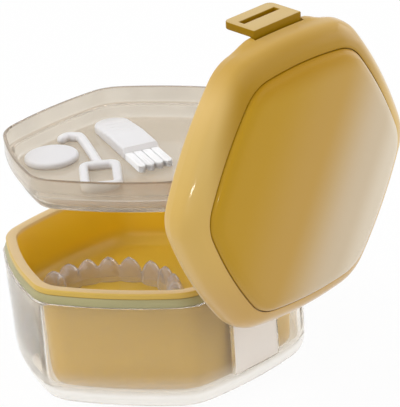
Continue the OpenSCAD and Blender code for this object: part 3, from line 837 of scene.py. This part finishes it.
def latch_flap():
    x, low, r = FLAP_W / 2, FLAP_TOP - FLAP_L, FLAP_R
    outline = [(side * (x - r) + r * math.cos(math.radians(t)),
                low + r + r * math.sin(math.radians(t)))
               for side, start in ((-1, 180), (1, 270)) for t in range(start, start + 91, 10)]
    outline += [(x, FLAP_TOP), (-x, FLAP_TOP)]
    bm = bmesh.new()
    bridge(bm, [[bm.verts.new((u, y, v)) for u, v in outline]
                for y in (-FLAP_IN - FLAP_T, -FLAP_IN)])
    obj = make("latch_plate", bm)
    # Thick end that turns on the pin, against the lid's wall
    end = bmesh.new()
    block(end, (-x, -FLAP_IN - 0.5, LATCH_Z - KNUCKLE), (x, -FLAP_END, FLAP_TOP))
    carve(obj, end, 'UNION')
    slot = bmesh.new()
    block(slot, (-SLOT_L / 2, -FLAP_IN - FLAP_T - 1, CATCH_Z - SLOT_W / 2),
          (SLOT_L / 2, -FLAP_IN + 1, CATCH_Z + SLOT_W / 2))
    carve(obj, slot)
    apply_modifier(obj, 'BEVEL', width=0.7 * MM, segments=4, limit_method='ANGLE')
    bm = reopen(obj)
    opened(bm)
    dress(make("latch_plate", bm, 40), flap_mat, "latch", "latch_flap")


outer_shell()
inner_bowl()
seal_ring()
aligner()
tray()
tablet()
removal_tool()
brush_handle()
bristles = random.Random(7)
for number in range(1, TUFTS + 1):
    brush_tuft(number, bristles)
lid_frame()
lid_panel()
latch_flap()
dress_node("hinge_plate", hinge_mat)
dress_node("hinge_pin", steel_mat)
dress_node("latch_pin", steel_mat)


# ---------- floor, light and camera ----------
def looked_at(owner):
    """A value that is 1 where the camera looks, straight or by way of gloss or clear pieces."""
    path = add(owner, "LightPath")
    seen = path.outputs["Is Camera Ray"]
    for kind in ("Is Glossy Ray", "Is Transmission Ray"):
        more = add(owner, "Math", 'MAXIMUM')
        link(owner, seen, more.inputs[0])
        link(owner, path.outputs[kind], more.inputs[1])
        seen = more.outputs[0]
    return seen


def floor():
    """White paper that shows as white, with what is left of its colour for the shadow."""
    mat = bpy.data.materials.new("floor_paper")
    mat.use_nodes = True
    paper = shader(mat)
    paper.inputs["Base Color"].default_value = (0.9, 0.9, 0.9, 1)
    paper.inputs["Roughness"].default_value = 0.9
    glow = add(mat, "Emission", Color=(1, 1, 1, 1))
    share = add(mat, "Math", 'MULTIPLY')
    share.inputs[1].default_value = 0.94
    link(mat, looked_at(mat), share.inputs[0])
    mix = add(mat, "MixShader")
    link(mat, share.outputs[0], mix.inputs["Fac"])
    link(mat, paper.outputs[0], mix.inputs[1])
    link(mat, glow.outputs[0], mix.inputs[2])
    link(mat, mix.outputs[0], mat.node_tree.nodes["Material Output"].inputs["Surface"])
    bm = bmesh.new()
    bmesh.ops.create_grid(bm, x_segments=2, y_segments=2, size=3000)
    obj = make("floor", bm)
    obj.data.materials.append(mat)


def world():
    """White where it is looked at, and softer as a light."""
    space = bpy.data.worlds.new("studio")
    bpy.context.scene.world = space
    space.use_nodes = True
    back = space.node_tree.nodes["Background"]
    back.inputs["Color"].default_value = (1, 1, 1, 1)
    level = add(space, "MapRange", To_Min=0.55, To_Max=1.0)
    link(space, looked_at(space), level.inputs["Value"])
    link(space, level.outputs["Result"], back.inputs["Strength"])


def toward(azimuth, height):
    """The direction at an azimuth and a height in degrees."""
    a, e = math.radians(azimuth), math.radians(height)
    return Vector((math.cos(a) * math.cos(e), math.sin(a) * math.cos(e), math.sin(e)))


def lamp(name, azimuth, height, distance, wide, tall, power, mirrored=True):
    """A soft light aimed at the middle of the case, seen or unseen in gloss."""
    light = bpy.data.lights.new(name, 'AREA')
    light.shape = 'RECTANGLE'
    light.size, light.size_y = wide, tall
    light.energy = power
    obj = bpy.data.objects.new(name, light)
    way = toward(azimuth, height)
    obj.location = Vector((0, 0.02, 0.06)) + way * distance
    obj.rotation_euler = way.to_track_quat('Z', 'Y').to_euler()
    obj.visible_glossy = mirrored
    bpy.context.scene.collection.objects.link(obj)


def camera():
    """A long lens, fitted to the photo. The focal length is in pixels of its 400 wide frame."""
    focal, frame_wide, sensor, distance = 2958.2, 400, 36.0, 0.9
    target, roll = Vector((0.02357, 0.04966, 0.07256)), math.radians(-5.03)
    way = toward(46.19, 22.63)
    right = (-way).cross(Vector((0, 0, 1))).normalized()
    up = right.cross(-way)
    across = math.cos(roll) * right + math.sin(roll) * up
    above = -math.sin(roll) * right + math.cos(roll) * up
    data = bpy.data.cameras.new("camera")
    data.sensor_fit = 'HORIZONTAL'
    data.sensor_width = sensor
    data.lens = focal * sensor / frame_wide
    data.clip_start, data.clip_end = 0.01, 20
    obj = bpy.data.objects.new("camera", data)
    turn = Matrix((across, above, way)).transposed().to_4x4()
    obj.matrix_world = Matrix.Translation(target + way * distance) @ turn
    bpy.context.scene.collection.objects.link(obj)
    bpy.context.scene.camera = obj


floor()
world()
lamp("key", -35, 48, 1.2, 0.9, 0.9, 8, mirrored=False)
lamp("fill", 110, 35, 1.4, 1.2, 1.2, 4.5)
lamp("rim", 165, 12, 1.2, 0.8, 0.8, 5)
lamp("spark", 29.4, 13, 1.6, 0.2, 0.04, 1.4)
camera()
bpy.context.scene.view_settings.view_transform = 'Standard'
# Light in the clear shell's walls turns many times before it comes out
cycles = bpy.context.scene.cycles
cycles.max_bounces, cycles.transmission_bounces, cycles.glossy_bounces = 32, 32, 16
